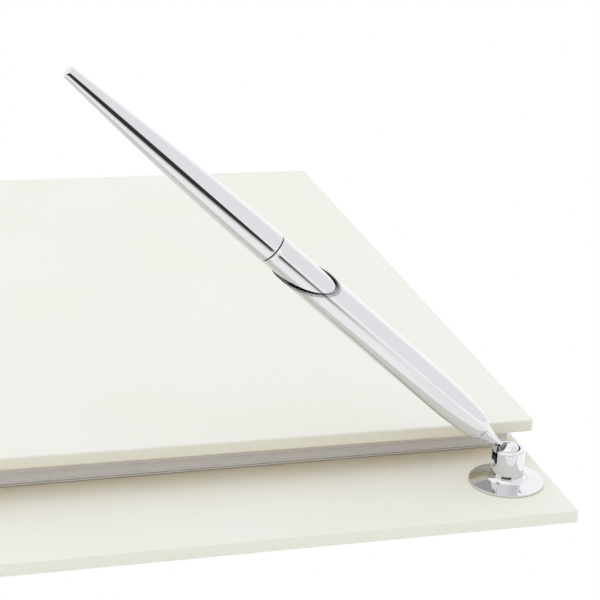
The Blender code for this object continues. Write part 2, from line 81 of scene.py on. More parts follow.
# ---- covering ---------------------------------------------------------------
SKIN = 0.5 * MM
GAP = 0.3 * MM
CORNER = 1.0 * MM
EDGE = 0.55 * MM
GROOVE = 1.3 * MM           # depth of the hinge groove beside the spine
FOLD_RADIUS = 1.75 * MM     # outer side of the covering round each fold line

# ---- text block -------------------------------------------------------------
SHEETS = 7                  # in each signature
SHEET_SHARE = 0.97          # of the pitch that paper fills
SHEET_FILL = 0.25 * MM      # how far a gathering swells towards the one above
LEAF_SWELL = 0.07 * MM      # on each side of a loose leaf
FOLD_ROUND = 0.6 * MM

# ---- stand: radii, and heights above the ledge ------------------------------
FLANGE_LIP = 0.62 * MM
COLUMN_RADIUS = 4.37 * MM
LIP_BEAD = 0.8 * MM
FILLET = 1.3 * MM
RING_RADIUS = 5.4 * MM      # faint turned line between brim and fillet
RING_HEIGHT = 1.3 * MM
RING_WIDTH = 0.12 * MM
RING_DEPTH = 0.03 * MM
BRIM_CURVE = 1.12           # 1 is a straight cone, more is a slight dome
TURNED_EDGE = 0.2 * MM      # rounding of the brim's edge and of the mouth
FOOT_LIFT = 0.03 * MM       # under the foot
BALL_RADIUS = 3.0 * MM
SEAT_RADIUS = 3.3 * MM
BORE_FLOOR = 3.3 * MM
SCREW_HOLE = 1.9 * MM
SCREW_HOLE_TOP = 2.5 * MM
SLOT_WIDTH = 3.8 * MM
SLOT_DEPTH = 5.0 * MM
SLOT_START = 1.75 * MM

# ---- pen: radii, and distances from the ball's centre along its axis --------
BALL_BORE = 1.5 * MM
BALL_BORE_FLOOR = -1.8 * MM
BARREL_FULL = 31 * MM
BARREL_FRONT = 2.5 * MM
BARREL_BORE = 4.42 * MM
RIM = 0.03 * MM             # tiny chamfer on the oblique end
BARREL_STATIONS = [s * MM for s in (40, 50, 60, 64, 68, 72, 75, 77)]
SPIGOT = 1.75 * MM
SPIGOT_END = 13.5 * MM
SPIGOT_BORE = 1.2 * MM
NOSE_BORE = 0.45 * MM
NOSE_SEAT = 7.2 * MM
OBLIQUE_FROM = 60 * MM      # below this station the barrel's rings are square to its axis
COLLAR_RADIUS = 4.12 * MM
COLLAR_BORE = 3.5 * MM
COLLAR_FLARE = 1.5 * MM     # length of the flared lip
SMALL_ROUND = 0.12 * MM     # on the lips of collar and tail
TAIL_TIP_RADIUS = 1.55 * MM
TAIL_POWER = 1.75
TAIL_TIP = 1.0 * MM         # length of the rounded tip
TAIL_SHORTER = 0.12 * MM    # keeps the round tip inside the frame's box
TAIL_WALL = 0.6 * MM
CAVITY_END = 139 * MM

ROUND = 144                 # facets round the pen and the stand


# ---- places from the frame --------------------------------------------------
FRONT_FOLD = Vector(JOINTS["front_cover_open"]["pos_m"])
BALL = Vector(JOINTS["stand_swivel"]["pos_m"])
LEAF_PIVOT = Vector(JOINTS["flyleaf_turn"]["pos_m"])
BACK_LOW, BACK_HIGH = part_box("back_cover_wrap")
SPINE_LOW, SPINE_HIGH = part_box("spine_wrap")
BLOCK_LOW, BLOCK_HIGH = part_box("signature_1")
LEDGE_TOP = BACK_HIGH.z


def axes_matrix(x, y, z, origin):
    """The placement whose columns are three unit axes and an origin."""
    turn = Matrix((x, y, z)).transposed().to_4x4()
    return Matrix.Translation(origin) @ turn


def pen_matrix():
    """Z along the pen, X down and outwards in the pen's upright plane."""
    along = Vector(JOINTS["pen_spin"]["axis"]).normalized()
    side = Vector((0, 0, 1)).cross(along).normalized()
    return axes_matrix(side.cross(along), side, along, BALL)


def cover_matrix():
    """Flat with the front cover: X from the fold to the fore edge, Z out of its face."""
    up = Vector(MOUNTS["front_cover_face"]["axis"]).normalized()
    side = Vector((0, 1, 0))
    return axes_matrix(side.cross(up), side, up, FRONT_FOLD)


PEN = pen_matrix()
COVER = cover_matrix()
FLAT = Matrix.Identity(4)
STAND = Matrix.Translation((BALL.x, BALL.y, LEDGE_TOP))


def local_points(node, matrix):
    """A CAD node's points in a placement's own axes."""
    inverse = matrix.inverted()
    return [inverse @ vert.co for vert in NODES[node].data.vertices]


def local_box(node, matrix):
    """A CAD node's lowest and highest corners in a placement's own axes."""
    points = np.array(local_points(node, matrix))
    return Vector(points.min(0)), Vector(points.max(0))


def stations(node):
    """Where a pen part starts and ends along the pen, and its largest radius."""
    points = local_points(node, PEN)
    heights = [p.z for p in points]
    return min(heights), max(heights), max(math.hypot(p.x, p.y) for p in points)


# ---- mesh tools -------------------------------------------------------------
def piece(name, verts, faces, look, sharp=None, matrix=FLAT):
    """A mesh object with outward normals. Edges sharper than the angle stay crisp."""
    mesh = bpy.data.meshes.new(name)
    mesh.from_pydata([matrix @ Vector(v) for v in verts], [], faces)
    shape = bmesh.new()
    shape.from_mesh(mesh)
    bmesh.ops.remove_doubles(shape, verts=shape.verts, dist=1e-7)
    bmesh.ops.recalc_face_normals(shape, faces=shape.faces)
    shape.to_mesh(mesh)
    shape.free()
    if sharp is not None:
        mesh.shade_smooth()
        mesh.set_sharp_from_angle(angle=math.radians(sharp))
    obj = bpy.data.objects.new(name, mesh)
    bpy.context.scene.collection.objects.link(obj)
    mesh.materials.append(look)
    return obj


def finish_piece(obj, body, slot, *nodes):
    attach(obj, body)
    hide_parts(*nodes)


def join_rings(rings, closed):
    """Faces between rings of vertex numbers. A ring has the common count, or is one
    point in the middle."""
    pairs = list(zip(rings, rings[1:]))
    if closed:
        pairs.append((rings[-1], rings[0]))
    faces = []
    for low, high in pairs:
        count = max(len(low), len(high))
        for k in range(count):
            n = (k + 1) % count
            if len(low) == 1:
                faces.append((low[0], high[n], high[k]))
            elif len(high) == 1:
                faces.append((low[k], low[n], high[0]))
            else:
                faces.append((low[k], low[n], high[n], high[k]))
    return faces


def turned(profile, steps=ROUND):
    """Points and faces of a shape turned about Z from (radius, height) points."""
    verts = []
    rings = []
    for radius, height in profile:
        start = len(verts)
        if radius < 1e-7:
            verts.append((0, 0, height))
        else:
            for k in range(steps):
                angle = 2 * math.pi * k / steps
                verts.append((radius * math.cos(angle), radius * math.sin(angle), height))
        rings.append(range(start, len(verts)))
    hollow = profile[0][0] > 1e-7 and profile[-1][0] > 1e-7
    return verts, join_rings(rings, hollow)


def even(low, high, count):
    """Places from low to high, in that many equal steps."""
    return [low + (high - low) * i / count for i in range(count + 1)]


def arc(centre, radius, start, end, count):
    """Points of an arc, in degrees, from start to end."""
    points = []
    for i in range(count + 1):
        angle = math.radians(start + (end - start) * i / count)
        points.append((centre[0] + radius * math.cos(angle), centre[1] + radius * math.sin(angle)))
    return points


def eased(points, per_span):
    """A smooth curve through outline points."""
    made = []
    for i in range(len(points) - 1):
        a = np.array(points[max(i - 1, 0)])
        b = np.array(points[i])
        c = np.array(points[i + 1])
        d = np.array(points[min(i + 2, len(points) - 1)])
        for step in range(per_span):
            t = step / per_span
            made.append(tuple(0.5 * (
                2 * b + (c - a) * t + (2 * a - 5 * b + 4 * c - d) * t ** 2
                + (3 * b - a - 3 * c + d) * t ** 3
            )))
    made.append(tuple(points[-1]))
    return made


# ---- materials --------------------------------------------------------------
class Look:
    """A node material that is put together one step at a time."""

    def __init__(self, name):
        self.material = bpy.data.materials.new(name)
        self.material.use_nodes = True
        self.nodes = self.material.node_tree.nodes
        self.links = self.material.node_tree.links
        self.shader = self.nodes["Principled BSDF"]
        self.place = self.nodes.new("ShaderNodeTexCoord").outputs["Object"]

    def set(self, **values):
        for key, value in values.items():
            self.shader.inputs[key.replace("_", " ")].default_value = value
        return self

    def texture(self, kind, size, stretch=(1, 1, 1)):
        """A texture node whose patches are about that size across, in metres."""
        scale = self.nodes.new("ShaderNodeMapping")
        scale.inputs["Scale"].default_value = [s / size for s in stretch]
        self.links.new(self.place, scale.inputs["Vector"])
        made = self.nodes.new(kind)
        made.inputs["Scale"].default_value = 1.0
        self.links.new(scale.outputs["Vector"], made.inputs["Vector"])
        return made

    def noise(self, size, detail=3.0, stretch=(1, 1, 1), roughness=0.5):
        made = self.texture("ShaderNodeTexNoise", size, stretch)
        made.inputs["Detail"].default_value = detail
        made.inputs["Roughness"].default_value = roughness
        return made.outputs["Fac"]

    def cells(self, size):
        made = self.texture("ShaderNodeTexVoronoi", size)
        made.feature = "SMOOTH_F1"
        return made.outputs["Distance"]

    def blend(self, factor, low, high, dark, light):
        """A colour that runs from dark to light as the factor goes from low to high."""
        ramp = self.nodes.new("ShaderNodeValToRGB")
        ramp.color_ramp.elements[0].position = low
        ramp.color_ramp.elements[1].position = high
        ramp.color_ramp.elements[0].color = (*dark, 1)
        ramp.color_ramp.elements[1].color = (*light, 1)
        self.links.new(factor, ramp.inputs["Fac"])
        return ramp.outputs["Color"]

    def painted_shade_by_facing(self, upright, level):
        """Painted shade: one colour for upright faces and another for level ones, in the piece's axes,
        standing in for the light that each facing gets.
        """
        split = self.nodes.new("ShaderNodeSeparateXYZ")
        self.links.new(self.nodes.new("ShaderNodeTexCoord").outputs["Normal"], split.inputs[0])
        size = self.nodes.new("ShaderNodeMath")
        size.operation = "ABSOLUTE"
        self.links.new(split.outputs["Z"], size.inputs[0])
        mix = self.nodes.new("ShaderNodeMix")
        mix.data_type = "RGBA"
        self.links.new(size.outputs[0], mix.inputs[0])
        self.links.new(upright, mix.inputs[6])
        self.links.new(level, mix.inputs[7])
        return mix.outputs[2]

    def over(self, first, second, amount):
        """The first colour, darkened by the second."""
        mix = self.nodes.new("ShaderNodeMix")
        mix.data_type = "RGBA"
        mix.blend_type = "MULTIPLY"
        mix.inputs[0].default_value = amount
        self.links.new(first, mix.inputs[6])
        self.links.new(second, mix.inputs[7])
        return mix.outputs[2]

    def colour(self, source):
        self.links.new(source, self.shader.inputs["Base Color"])
        return self

    def rough(self, factor, low, high):
        span = self.nodes.new("ShaderNodeMapRange")
        span.inputs["To Min"].default_value = low
        span.inputs["To Max"].default_value = high
        self.links.new(factor, span.inputs["Value"])
        self.links.new(span.outputs["Result"], self.shader.inputs["Roughness"])
        return self

    def bump(self, *layers):
        """Relief from (factor, height in metres) layers, coarse ones first."""
        normal = None
        for factor, height in layers:
            step = self.nodes.new("ShaderNodeBump")
            step.inputs["Strength"].default_value = 1.0
            step.inputs["Distance"].default_value = height
            self.links.new(factor, step.inputs["Height"])
            if normal is not None:
                self.links.new(normal, step.inputs["Normal"])
            normal = step.outputs["Normal"]
        self.links.new(normal, self.shader.inputs["Normal"])
        return self


def cover_paper():
    """Ivory coated paper with a fine pressed grain."""
    look = Look("ivory_cover_paper").set(Specular_IOR_Level=0.35, Coat_Weight=0.03, Coat_Roughness=0.4)
    broad = look.noise(45 * MM, 2.0)
    fleck = look.noise(0.9 * MM, 4.0, (1, 1, 1), 0.6)
    grain = look.cells(0.34 * MM)
    fine = look.noise(0.12 * MM, 2.0)
    base = look.blend(broad, 0.3, 0.7, (0.886, 0.806, 0.614), (0.900, 0.824, 0.640))
    tint = look.blend(fleck, 0.35, 0.65, (0.975, 0.972, 0.962), (1, 1, 1))
    look.colour(look.over(base, tint, 1.0))
    look.rough(fleck, 0.46, 0.60)
    look.bump((broad, 0.02 * MM), (grain, 0.018 * MM), (fine, 0.006 * MM))
    return look.material


def page_paper(name, shade=1.0):
    """Uncoated paper: soft fibre clouds and a tooth that catches light. The split by facing is painted
    light: upright cut edges get a whiter colour set for the shaded front, level faces a creamier one that
    also offsets the cool light from above."""
    look = Look(name).set(Specular_IOR_Level=0.2)
    cloud = look.noise(3.5 * MM, 4.0)
    fibre = look.noise(0.25 * MM, 4.0, (1, 2.2, 1), 0.65)
    dark = tuple(shade * c for c in (0.850, 0.770, 0.605))
    light = tuple(shade * c for c in (0.880, 0.800, 0.630))
    tint = look.blend(fibre, 0.3, 0.7, (0.95, 0.948, 0.945), (1, 1, 1))
    # painted light: the face colour offsets the cool light from above, the edge colour is set for the
    # shaded front
    face = look.blend(cloud, 0.3, 0.7, dark, light)
    edge = look.blend(cloud, 0.3, 0.7, (0.885, 0.852, 0.825), (0.920, 0.887, 0.860))
    look.colour(look.over(look.painted_shade_by_facing(edge, face), tint, 1.0))
    look.rough(fibre, 0.75, 0.9)
    look.bump((cloud, 0.01 * MM), (fibre, 0.01 * MM))
    return look.material


def grey_board():
    """Raw binder's board: pressed grey-brown fibre with dark flecks."""
    look = Look("binders_board").set(Specular_IOR_Level=0.1)
    cloud = look.noise(6 * MM, 5.0)
    fleck = look.noise(0.5 * MM, 5.0, (1, 1, 6), 0.7)
    base = look.blend(cloud, 0.3, 0.7, (0.42, 0.37, 0.31), (0.56, 0.51, 0.44))
    look.colour(look.over(base, look.blend(fleck, 0.35, 0.6, (0.6, 0.58, 0.55), (1, 1, 1)), 0.8))
    look.rough(fleck, 0.8, 0.95)
    look.bump((fleck, 0.05 * MM))
    return look.material


def chrome():
    """Mirror chrome with faint polishing haze."""
    look = Look("bright_chrome").set(Metallic=1.0)
    haze = look.noise(2.5 * MM, 5.0, (1, 1, 1), 0.6)
    smudge = look.noise(9 * MM, 3.0)
    look.colour(look.blend(smudge, 0.3, 0.7, (0.690, 0.690, 0.705), (0.710, 0.710, 0.720)))
    look.rough(haze, 0.015, 0.055)
    look.bump((haze, 0.0012 * MM))
    return look.material


def turned_brass():
    """Brass with the fine rings that turning leaves."""
    look = Look("turned_brass").set(Metallic=1.0)
    ring = look.noise(0.25 * MM, 3.0)
    tone = look.noise(4 * MM, 3.0)
    look.colour(look.blend(tone, 0.3, 0.7, (0.70, 0.53, 0.26), (0.80, 0.64, 0.35)))
    look.rough(ring, 0.18, 0.34)
    look.bump((ring, 0.01 * MM))
    return look.material


def zinc_steel():
    """Zinc-plated steel with a mottled spangle."""
    look = Look("zinc_steel").set(Metallic=1.0)
    spangle = look.cells(1.2 * MM)
    fine = look.noise(0.3 * MM, 3.0)
    look.colour(look.blend(spangle, 0.1, 0.8, (0.50, 0.50, 0.52), (0.64, 0.64, 0.66)))
    look.rough(fine, 0.25, 0.42)
    look.bump((fine, 0.01 * MM))
    return look.material


def black_nylon():
    look = Look("black_nylon").set(Specular_IOR_Level=0.4)
    fine = look.noise(0.3 * MM, 4.0)
    look.colour(look.blend(fine, 0.3, 0.7, (0.016, 0.016, 0.018), (0.030, 0.030, 0.032)))
    look.rough(fine, 0.38, 0.55)
    look.bump((fine, 0.015 * MM))
    return look.material


def refill_plastic():
    look = Look("refill_plastic").set(Specular_IOR_Level=0.5)
    cloud = look.noise(4 * MM, 3.0)
    look.colour(look.blend(cloud, 0.3, 0.7, (0.70, 0.72, 0.77), (0.78, 0.80, 0.84)))
    look.rough(cloud, 0.2, 0.32)
    look.bump((cloud, 0.02 * MM))
    return look.material


def mull():
    """Open-weave cloth under glue: two crossed sets of threads."""
    look = Look("mull_lining").set(Specular_IOR_Level=0.1)
    warp = look.noise(0.5 * MM, 2.0, (1, 1, 0.06))
    weft = look.noise(0.5 * MM, 2.0, (1, 0.06, 1))
    thread = look.over(
        look.blend(warp, 0.4, 0.6, (0.66, 0.63, 0.55), (0.84, 0.82, 0.76)),
        look.blend(weft, 0.4, 0.6, (0.8, 0.8, 0.8), (1, 1, 1)), 1.0,
    )
    look.colour(thread)
    look.rough(warp, 0.8, 0.95)
    look.bump((warp, 0.06 * MM), (weft, 0.06 * MM))
    return look.material


def band_cotton():
    look = Look("band_cotton").set(Specular_IOR_Level=0.15, Sheen_Weight=0.3)
    fibre = look.noise(0.12 * MM, 3.0, (1, 1, 0.3))
    look.colour(look.blend(fibre, 0.3, 0.7, (0.84, 0.82, 0.76), (0.93, 0.92, 0.87)))
    look.rough(fibre, 0.75, 0.9)
    look.bump((fibre, 0.02 * MM))
    return look.material


IVORY = cover_paper()
PAPER = page_paper("page_paper")
ENDPAPER = page_paper("endpaper", 1.06)
CHROME = chrome()
BOARD = grey_board()
STEEL = zinc_steel()
BRASS = turned_brass()
NYLON = black_nylon()
BAND = band_cotton()
KEPT_LOOKS = {
    "back_board": BOARD, "front_board": BOARD, "spine_board": BOARD,
    "back_pastedown": ENDPAPER, "front_pastedown": ENDPAPER,
    "spine_lining": mull(),
    "stand_screw": STEEL, "seat_spring": STEEL, "socket_liner": STEEL,
    "ball_seat": NYLON, "refill_plug": NYLON,
    "thread_sleeve": BRASS, "refill_tip": BRASS,
    "refill_tube": refill_plastic(),
}


def dress_kept_nodes():
    """Fine materials for the CAD nodes that stay as they are."""
    for name, look in KEPT_LOOKS.items():
        mesh = NODES[name].data
        mesh.materials.clear()
        mesh.materials.append(look)


# ---- covers -----------------------------------------------------------------
def rounded_ring(low, high, radius, height, side_steps=24, corner_steps=8):
    """Points round a level rectangle with rounded corners."""
    x0, y0 = low
    x1, y1 = high
    radius = max(radius, 0.02 * MM)
    corners = (
        (x1 - radius, y0 + radius, -90), (x1 - radius, y1 - radius, 0),
        (x0 + radius, y1 - radius, 90), (x0 + radius, y0 + radius, 180),
    )
    points = []
    for i, (cx, cy, start) in enumerate(corners):
        turn = arc((cx, cy), radius, start, start + 90, corner_steps)
        points += turn
        nx, ny, first = corners[(i + 1) % 4]
        goal = arc((nx, ny), radius, first, first, 1)[0]
        x, y = turn[-1]
        for step in range(1, side_steps):
            t = step / side_steps
            points.append((x + (goal[0] - x) * t, y + (goal[1] - y) * t))
    return [(px, py, height) for px, py in points]


def covering(name, low, high, window_low, window_high, inner_up, matrix):
    """Covering folded round a board: outer face, four rounded edges, the turned-in
    strips with their window, and the hollow that the board fills."""
    thick = high.z - low.z

    def level(depth):
        """Height of a ring at that depth behind the outer face."""
        return low.z + depth if inner_up else high.z - depth

    def ring(inset, depth):
        return rounded_ring(
            (low.x + inset, low.y + inset), (high.x - inset, high.y - inset), CORNER - inset, level(depth),
        )

    def window_ring(share, inset, depth):
        """From the outline, at share 0, to the window, at share 1."""
        a = [low.x + inset, low.y + inset, high.x - inset, high.y - inset]
        b = [window_low.x, window_low.y, window_high.x, window_high.y]
        x0, y0, x1, y1 = [p + (q - p) * share for p, q in zip(a, b)]
        return rounded_ring((x0, y0), (x1, y1), CORNER * (1 - share), level(depth))

    rings = [ring(inset * MM, 0) for inset in (20, 4, 1.2)]
    for inset, depth in arc((EDGE, EDGE), EDGE, 270, 180, 6):
        rings.append(ring(inset, depth))
    rings.append(ring(0, thick / 2))
    for inset, depth in arc((EDGE, thick - EDGE), EDGE, 180, 90, 6):
        rings.append(ring(inset, depth))
    for share in (0.05, 0.5, 0.985):
        rings.append(window_ring(share, EDGE, thick))
    rings.append(window_ring(1, EDGE, thick - 0.1 * MM))
    rings.append(window_ring(1, EDGE, thick - SKIN))
    rings.append(ring(SKIN, thick - SKIN))
    rings.append(ring(SKIN, SKIN))
    verts = [point for points in rings for point in points]
    count = len(rings[0])
    numbers = [range(i * count, (i + 1) * count) for i in range(len(rings))]
    faces = join_rings(numbers, False)
    faces.append(tuple(numbers[0]))
    faces.append(tuple(numbers[-1]))
    return piece(name, verts, faces, IVORY, 40, matrix)


def cover(side, body, matrix, inner_up):
    """One cover's folded covering, whose window leaves the pastedown free."""
    low, high = local_box(side + "_cover_wrap", matrix)
    window_low, window_high = local_box(side + "_pastedown", matrix)
    margin = Vector((GAP / 2, GAP / 2, 0))
    shell = covering(
        side + "_covering", low, high, window_low - margin, window_high + margin, inner_up, matrix,
    )
    finish_piece(shell, body, "cover_paper", side + "_cover_wrap")


def strip(name, section, across=60):
    """Covering with rounded ends, swept along Y over the spine's length. Its section
    is a list of (x, z) points along its outer side, and the thickness goes inwards,
    to the right of the way that the points run."""
    y_low, y_high = SPINE_LOW.y, SPINE_HIGH.y
    points = [Vector((x, 0, z)) for x, z in section]
    inward = []
    for i, point in enumerate(points):
        along = points[min(i + 1, len(points) - 1)] - points[max(i - 1, 0)]
        inward.append(Vector((along.z, 0, -along.x)).normalized())
    # each row's distance from the end, and how far it draws in from both sides
    half = SKIN / 2
    rows = [(half * (1 - math.cos(a)), half * (1 - math.sin(a))) for a in (0, 0.4, 0.8, 1.2, math.pi / 2)]
    stops = [(y_low + d, o) for d, o in rows]
    for step in range(1, across):
        stops.append((y_low + half + (y_high - y_low - SKIN) * step / across, 0.0))
    stops += [(y_high - d, o) for d, o in reversed(rows)]
    verts = []
    loops = []
    for y, offset in stops:
        start = len(verts)
        for point, normal in zip(points, inward):
            verts.append(point + normal * offset + Vector((0, y, 0)))
        for point, normal in zip(reversed(points), reversed(inward)):
            verts.append(point + normal * (SKIN - offset) + Vector((0, y, 0)))
        loops.append(range(start, len(verts)))
    faces = join_rings(loops, False)
    faces.append(tuple(loops[0]))
    faces.append(tuple(loops[-1]))
    return piece(name, verts, faces, IVORY, 40)


def joint_section():
    """Section of the covering on the underside, from the board's edge through the
    hinge groove and round the fold to the spine."""
    shoulder = FOLD_RADIUS
    edge = BACK_LOW.x + SKIN
    groove = (edge + SPINE_LOW.x + shoulder) / 2 + 0.6 * MM
    return eased([
        (edge, GROOVE * 0.75), (edge - 1.3 * MM, GROOVE), (groove, GROOVE),
        (SPINE_LOW.x + shoulder + 1.0 * MM, 0.32 * GROOVE),
        (SPINE_LOW.x + shoulder * 0.72, shoulder * 0.04),
        (SPINE_LOW.x + shoulder * 0.3, shoulder * 0.28),
        (SPINE_LOW.x, shoulder),
    ], 8)


def spine_covering():
    """The covering runs from one board through a groove, round the spine and through
    the other groove. It is two sheets that meet at the lower fold."""
    low = joint_section()
    back = strip("back_joint_covering", low)
    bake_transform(back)
    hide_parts("back_joint_cloth")

    crown = FRONT_FOLD.z + FOLD_RADIUS
    steps = 12
    rise = crown - 2 * FOLD_RADIUS
    side = [(SPINE_LOW.x, FOLD_RADIUS + rise * i / steps) for i in range(steps)]
    upper = [(x, crown - z) for x, z in reversed(low)]
    front = strip("spine_covering", side + upper)
    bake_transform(front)
    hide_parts("spine_wrap", "front_joint_cloth")


# ---- text block -------------------------------------------------------------
def trimmed_grid(rng, low, high):
    """Grid places over one trimmed sheet, each of whose four sides is a little off."""
    wobble = 0.1 * MM
    inside = 0.12 * MM
    spine_inside = 0.2 * MM
    sides = (low.x + spine_inside, high.x - inside, low.y + inside, high.y - inside)
    x0, x1, y0, y1 = [value + rng.uniform(-wobble, wobble) for value in sides]
    return even(x0, x1, 10), even(y0, y1, 8)


def sheet_solid(verts, faces, xs, ys, bottom, top):
    """Adds one closed sheet over a grid. Bottom and top are heights as functions of x."""
    start = len(verts)
    columns = len(xs) - 1
    rows = len(ys) - 1

    def number(level, i, j):
        return start + (level * len(xs) + i) * len(ys) + j

    for surface in (bottom, top):
        verts += [(x, y, surface(x)) for x in xs for y in ys]
    for i in range(columns):
        for j in range(rows):
            for level in (0, 1):
                faces.append((
                    number(level, i, j), number(level, i, j + 1),
                    number(level, i + 1, j + 1), number(level, i + 1, j),
                ))
    for i in range(columns):
        for j in (0, rows):
            faces.append((number(0, i, j), number(0, i + 1, j), number(1, i + 1, j), number(1, i, j)))
    for j in range(rows):
        for i in (0, columns):
            faces.append((number(0, i, j), number(1, i, j), number(1, i, j + 1), number(0, i, j + 1)))


def signature_levels(node):
    """Lowest and highest points of a signature at the spine side and the fore edge."""
    points = [vert.co for vert in NODES[node].data.vertices]
    left = [p.z for p in points if p.x < BLOCK_LOW.x + 2 * FOLD_ROUND]
    right = [p.z for p in points if p.x > BLOCK_HIGH.x - MM]
    return min(left), max(left), min(right), max(right)


def signature_height(node, share):
    """Height as a function of x, at a share of a gathering's thickness, which is not
    the same at the spine side and the fore edge."""
    low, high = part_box(node)
    left_low, left_high, right_low, right_high = signature_levels(node)

    def height(x):
        across = (x - low.x) / (high.x - low.x)
        bottom = left_low + (right_low - left_low) * across
        top = left_high + (right_high - left_high) * across
        return bottom + (top - bottom + SHEET_FILL) * share

    return height


def signatures():
    """Each gathering is a stack of trimmed sheets with a little air between them."""
    rng = random.Random(11)
    for name in sorted(node for node in NODES if node.startswith("signature_")):
        low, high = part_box(name)
        verts = []
        faces = []
        for k in range(SHEETS):
            xs, ys = trimmed_grid(rng, low, high)
            bottom = signature_height(name, k / SHEETS)
            top = signature_height(name, (k + SHEET_SHARE) / SHEETS)
            sheet_solid(verts, faces, xs, ys, bottom, top)
        block = piece(name + "_sheets", verts, faces, PAPER)
        finish_piece(block, "book", "page", name)


def bound_leaf(name, node, look):
    """One leaf that lies flat. Its grid is fine beside the gutter."""
    matrix = Matrix.Translation(LEAF_PIVOT) @ COVER.to_3x3().to_4x4()
    low, high = local_box(node, matrix)
    bend = low.x + 18 * MM
    verts = []
    faces = []
    sheet_solid(
        verts, faces,
        even(low.x, bend, 36)[:-1] + even(bend, high.x, 12), even(low.y, high.y, 6),
        lambda x: low.z - LEAF_SWELL, lambda x: high.z + LEAF_SWELL,
    )
    leaf = piece(name, verts, faces, look, 40, matrix)
    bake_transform(leaf)
    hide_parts(node)


def back_flyleaf():
    low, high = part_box("back_flyleaf")
    verts = []
    faces = []
    sheet_solid(
        verts, faces, even(low.x, high.x, 10), even(low.y, high.y, 8),
        lambda x: low.z - LEAF_SWELL, lambda x: high.z + LEAF_SWELL,
    )
    finish_piece(piece("back_flyleaf_sheet", verts, faces, ENDPAPER), "book", "page", "back_flyleaf")


def end_bands():
    """Sewn bands: a cord wrapped with thread, whose turns show as slanted ridges."""
    turns = 16
    lean = 0.12 * MM
    for node in ("headband", "tailband"):
        low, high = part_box(node)
        centre = (low + high) / 2
        radius = (high.x - low.x) / 2
        profile = [(0, low.z)]
        steps = turns * 10
        for i in range(steps + 1):
            ridge = abs(math.sin(math.pi * turns * i / steps))
            profile.append((radius * (0.86 + 0.14 * ridge), low.z + (high.z - low.z) * i / steps))
        profile.append((0, high.z))
        verts, faces = turned(profile, 32)
        slanted = [(x, y, min(max(z + lean * y / radius, low.z), high.z)) for x, y, z in verts]
        place = Matrix.Translation((centre.x, centre.y, 0))
        band = piece(node + "_sewn", slanted, faces, BAND, 60, place)
        finish_piece(band, "book", "band", node)


# ---- pen stand --------------------------------------------------------------
def foot_profile(flange):
    """From the column down the fillet and out over the slightly domed brim."""
    points = []
    steps = 40
    for i in range(steps + 1):
        turn = math.pi / 2 * (1 - i / steps)
        radius = RING_RADIUS - (RING_RADIUS - COLUMN_RADIUS) * math.sin(turn)
        points.append((radius, RING_HEIGHT + FILLET * (1 - math.cos(turn))))
    for i in range(1, steps + 1):
        share = i / steps
        radius = RING_RADIUS + (flange - RING_RADIUS) * share
        points.append((radius, RING_HEIGHT - (RING_HEIGHT - FLANGE_LIP) * share ** BRIM_CURVE))
    return [(r, z - RING_DEPTH * math.exp(-((r - RING_RADIUS) / RING_WIDTH) ** 2)) for r, z in points]


def stand_base():
    """Round foot and hollow column, with a rolled lip over the ball and a slot for
    the pen's nose."""
    low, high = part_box("stand_base")
    flange = (high.x - low.x) / 2
    top = high.z - LEDGE_TOP
    ball = BALL.z - LEDGE_TOP
    mouth = math.degrees(math.asin((top - 0.15 * MM - ball) / SEAT_RADIUS))

    profile = [(0, BORE_FLOOR), (SEAT_RADIUS - 0.2 * MM, BORE_FLOOR)]
    profile += arc((0, ball), SEAT_RADIUS, 0, mouth, 16)
    inner = profile[-1][0]
    profile += arc((inner + 0.22 * MM, top - TURNED_EDGE), TURNED_EDGE, 170, 90, 5)
    profile += arc((COLUMN_RADIUS - LIP_BEAD, top - LIP_BEAD), LIP_BEAD, 88, 0, 14)
    profile += foot_profile(flange - 0.08 * MM)
    profile += arc((flange - TURNED_EDGE, FLANGE_LIP - TURNED_EDGE), TURNED_EDGE, 80, 0, 5)
    profile += [(flange, FOOT_LIFT + 0.1 * MM), (flange - 0.1 * MM, FOOT_LIFT)]
    profile += [(SCREW_HOLE, FOOT_LIFT), (SCREW_HOLE, SCREW_HOLE_TOP), (0, SCREW_HOLE_TOP)]
    verts, faces = turned(profile)
    stand = piece("stand_foot_and_column", verts, faces, CHROME, 35, STAND)

    cutter = slot_cutter(top)
    cut = stand.modifiers.new("slot", "BOOLEAN")
    cut.operation = "DIFFERENCE"
    cut.object = cutter
    bpy.context.view_layer.update()
    evaluated = stand.evaluated_get(bpy.context.evaluated_depsgraph_get())
    mesh = bpy.data.meshes.new_from_object(evaluated)
    stand.modifiers.clear()
    stand.data = mesh
    mesh.set_sharp_from_angle(angle=math.radians(35))
    bpy.data.objects.remove(cutter)
    finish_piece(stand, "book", "chrome", "stand_base")


def slot_cutter(top):
    """A prism along X with a round lower end."""
    half = SLOT_WIDTH / 2
    bottom = top - SLOT_DEPTH + half
    outline = [(-half, top + MM)] + arc((0, bottom), half, 180, 360, 24) + [(half, top + MM)]
    count = len(outline)
    verts = []
    for x in (-2 * COLUMN_RADIUS, -SLOT_START):
        verts += [(x, y, z) for y, z in outline]
    faces = [tuple(range(count)), tuple(range(count, 2 * count))]
    faces += join_rings([range(count), range(count, 2 * count)], False)
    return piece("slot_cutter", verts, faces, CHROME, None, STAND)


def swivel_ball():
    """Polished ball with a bore whose mouth has a small bevel."""
    mouth = math.asin(BALL_BORE / BALL_RADIUS)
    rim = BALL_RADIUS * math.cos(mouth)
    start = 90 - math.degrees(mouth) - 3
    profile = [(0, BALL_BORE_FLOOR), (BALL_BORE, BALL_BORE_FLOOR), (BALL_BORE, rim - 0.12 * MM)]
    profile += arc((0, 0), BALL_RADIUS, start, -90, 60)[:-1] + [(0, -BALL_RADIUS)]
    verts, faces = turned(profile)
    ball = piece("polished_ball", verts, faces, CHROME, 35, PEN)
    finish_piece(ball, "ball", "chrome", "swivel_ball")


